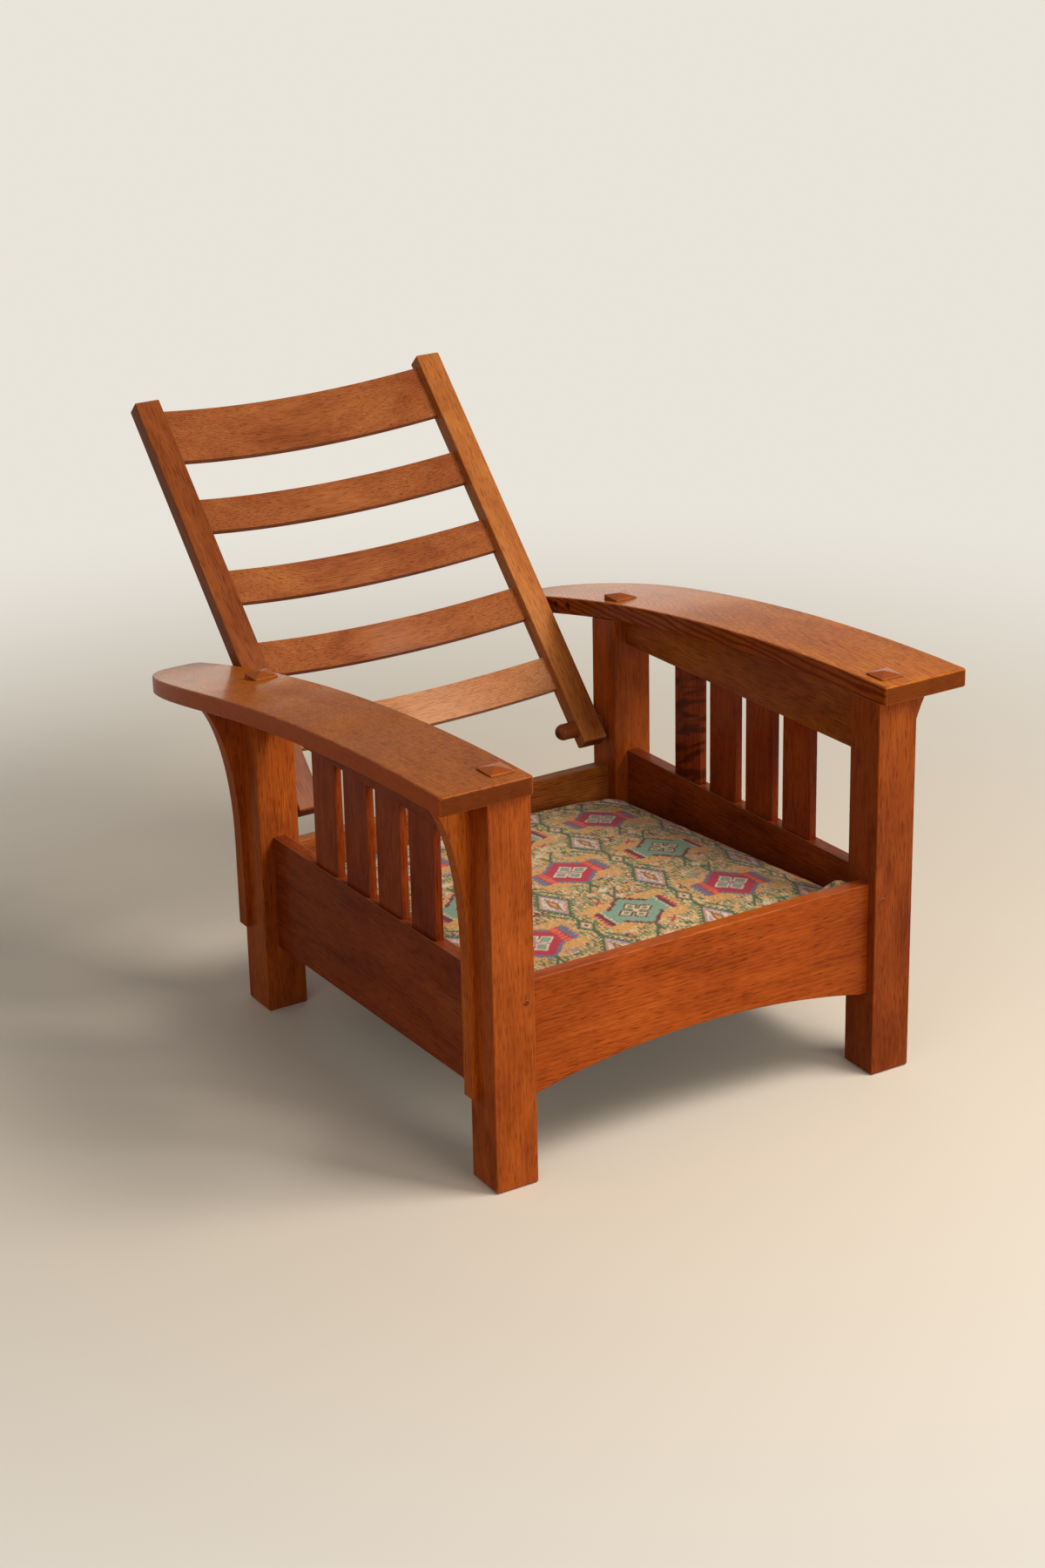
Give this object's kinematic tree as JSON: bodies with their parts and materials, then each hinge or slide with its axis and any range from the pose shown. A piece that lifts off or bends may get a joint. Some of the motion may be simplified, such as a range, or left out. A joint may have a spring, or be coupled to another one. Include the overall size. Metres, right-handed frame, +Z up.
{
  "type": "mission reclining armchair",
  "caption": "Bow-arm reclining armchair in oak with slatted sides, a hinged ladder back held by pegs, and an upholstered seat deck.",
  "frame": {"origin": "on the floor under the middle of the whole chair, back leant as in the picture", "axes": "+Z up, +Y to the rear of the chair, +X to the sitter's left"},
  "size_m": [0.912, 1.3136, 0.8856],
  "materials": {
    "oak_arm": "quarter-sawn oak, satin lacquer over an orange-brown stain",
    "oak_leg": "oak, satin lacquer over an orange-brown stain",
    "oak_rail": "oak, satin lacquer over an orange-brown stain",
    "oak_slat": "oak, satin lacquer over an orange-brown stain",
    "oak_stile": "oak, satin lacquer over an orange-brown stain",
    "oak_turned": "turned oak, satin lacquer, darker at the end grain",
    "oak_unfinished": "planed oak, no finish",
    "poplar": "planed poplar, no finish",
    "seat_fabric": "woven kilim-like upholstery cloth",
    "cotton_felt": "cotton felt over foam",
    "jute_webbing": "jute webbing",
    "cambric": "black cambric",
    "steel_screw": "zinc-plated steel"
  },
  "bodies": {
    "frame": {"front_rail": "oak_rail", "rear_rail": "oak_rail", "leg_front_left": "oak_leg", "leg_front_right": "oak_leg", "leg_rear_left": "oak_leg", "leg_rear_right": "oak_leg", "arm_left": "oak_arm", "arm_right": "oak_arm", "side_top_rail_left": "oak_rail", "side_top_rail_right": "oak_rail", "side_bottom_rail_left": "oak_rail", "side_bottom_rail_right": "oak_rail", "corbel_front_left": "oak_leg", "corbel_front_right": "oak_leg", "corbel_rear_left": "oak_leg", "corbel_rear_right": "oak_leg", "spacer_disc_left": "oak_turned", "spacer_disc_right": "oak_turned", "support_peg_left": "oak_turned", "support_peg_right": "oak_turned", "seat_cleat_left": "oak_unfinished", "seat_cleat_right": "oak_unfinished", "side_slat_1_left": "oak_slat", "side_slat_1_right": "oak_slat", "side_slat_2_left": "oak_slat", "side_slat_2_right": "oak_slat", "side_slat_3_left": "oak_slat", "side_slat_3_right": "oak_slat", "side_slat_4_left": "oak_slat", "side_slat_4_right": "oak_slat", "seat_board_front": "poplar", "seat_board_rear": "poplar", "seat_board_left": "poplar", "seat_board_right": "poplar", "seat_webbing_lengthwise": "jute_webbing", "seat_webbing_crosswise": "jute_webbing", "seat_padding": "cotton_felt", "seat_cover": "seat_fabric", "seat_dust_cover": "cambric", "seat_cleat_front": "oak_unfinished", "tenon_pins": "oak_turned", "seat_screws": "steel_screw", "cleat_screws": "steel_screw"},
    "back": {"back_stile_left": "oak_stile", "back_stile_right": "oak_stile", "back_slat_1": "oak_slat", "back_slat_2": "oak_slat", "back_slat_3": "oak_slat", "back_slat_4": "oak_slat", "back_slat_5": "oak_slat"},
    "pivot_peg_left": {"pivot_peg_left": "oak_turned"},
    "pivot_peg_right": {"pivot_peg_right": "oak_turned"}
  },
  "joints": [
    {"name": "back_hinge", "type": "hinge", "parent": "frame", "child": "back", "pos_m": [0, 0.12136, 0.3442], "axis": [1, 0, 0], "range_deg": [0, 134]},
    {"name": "pivot_peg_left_slide", "type": "slide", "parent": "frame", "child": "pivot_peg_left", "axis": [-1, 0, 0], "range_m": [0, 0.103]},
    {"name": "pivot_peg_right_slide", "type": "slide", "parent": "frame", "child": "pivot_peg_right", "axis": [1, 0, 0], "range_m": [0, 0.103]}
  ]
}
